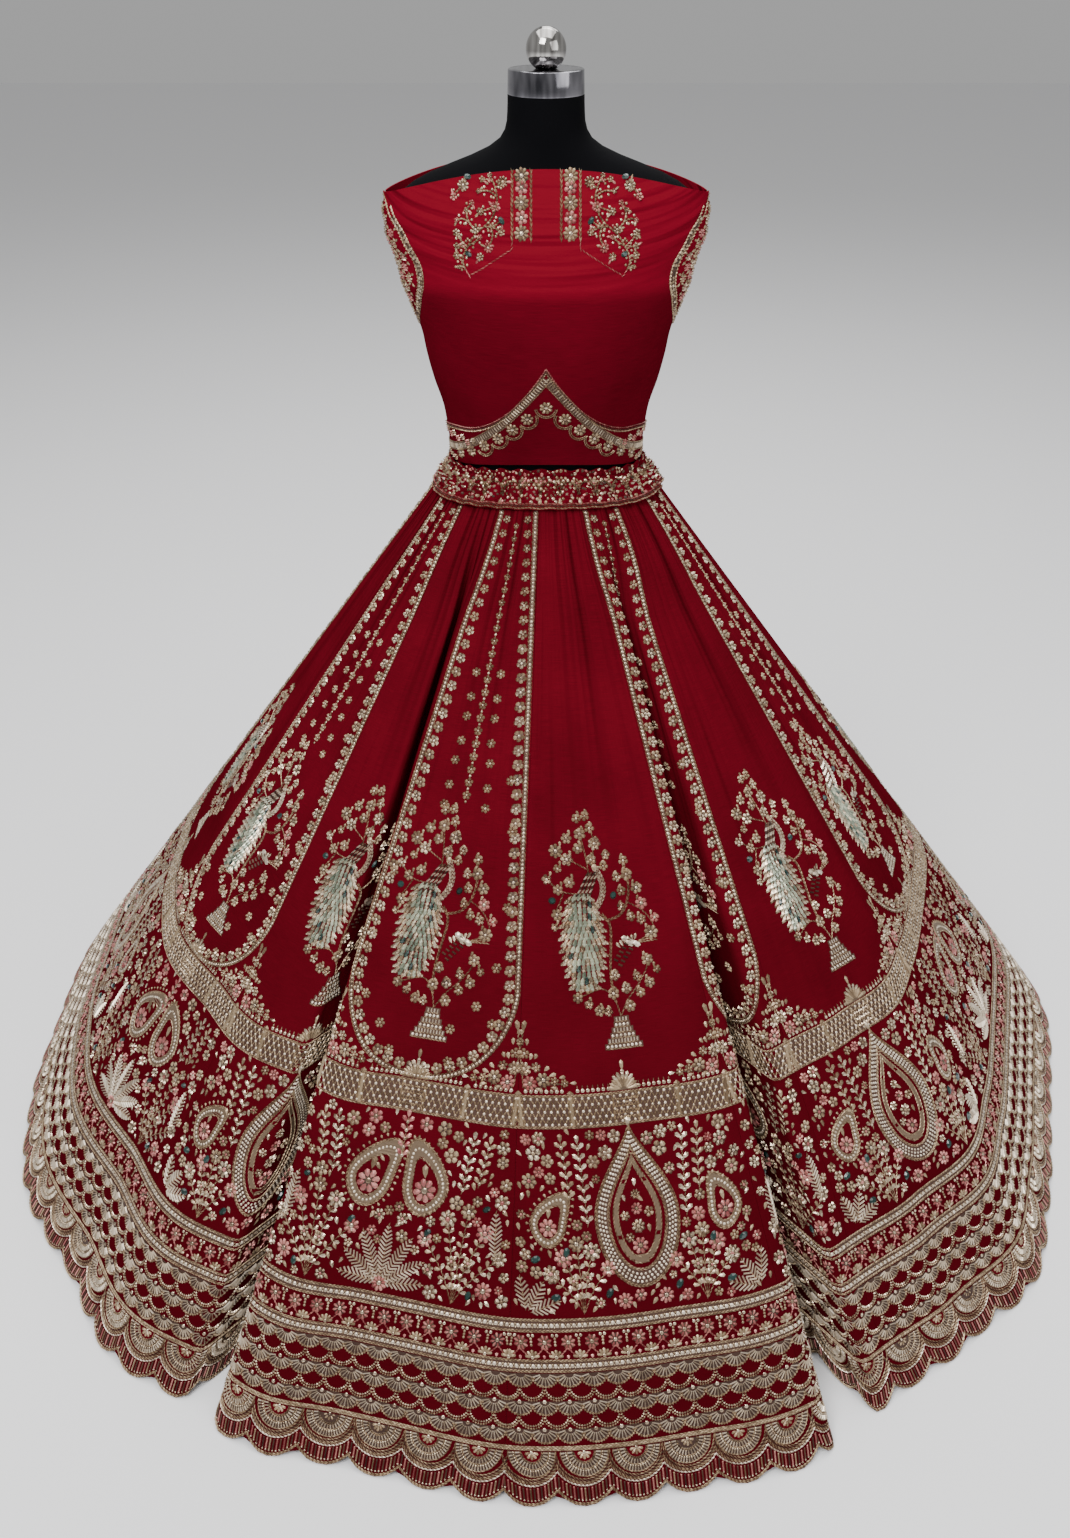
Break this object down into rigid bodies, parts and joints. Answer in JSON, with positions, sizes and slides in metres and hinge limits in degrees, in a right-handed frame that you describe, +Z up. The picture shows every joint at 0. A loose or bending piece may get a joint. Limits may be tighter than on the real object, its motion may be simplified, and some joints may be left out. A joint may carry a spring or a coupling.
{
  "type": "lehenga choli on a limbless dress form",
  "caption": "Flared crimson lehenga skirt of scalloped panels under a gathered worked waistband, with a wrapped choli, standing on a limbless black dress form.",
  "frame": {"origin": "on the floor at the axis of the stand's pole, at the middle of the base's underside", "axes": "+Z up along the pole, -Y to the garment's front, +X to the wearer's left"},
  "size_m": [1.5827, 1.5791, 1.3992],
  "materials": {
    "crimson_silk": "raw silk with slubs, soft sheen",
    "zari_work": "dense gold thread, sequins and beads on crimson",
    "black_jersey": "matt stretch jersey",
    "chrome": "polished",
    "black_enamel": "satin"
  },
  "bodies": {
    "root": {"kali_01": "crimson_silk", "kali_02": "crimson_silk", "kali_03": "crimson_silk", "kali_04": "crimson_silk", "kali_05": "crimson_silk", "kali_06": "crimson_silk", "kali_07": "crimson_silk", "kali_08": "crimson_silk", "kali_09": "crimson_silk", "kali_10": "crimson_silk", "kali_11": "crimson_silk", "kali_12": "crimson_silk", "kali_13": "crimson_silk", "kali_14": "crimson_silk", "kali_15": "crimson_silk", "kali_16": "crimson_silk", "waistband": "zari_work", "choli_front": "crimson_silk", "choli_back": "crimson_silk", "choli_side_left": "zari_work", "choli_side_right": "zari_work", "form_torso": "black_jersey", "neck_cap": "chrome", "neck_ball": "chrome", "stand_pole": "chrome", "stand_base": "black_enamel"}
  },
  "joints": []
}
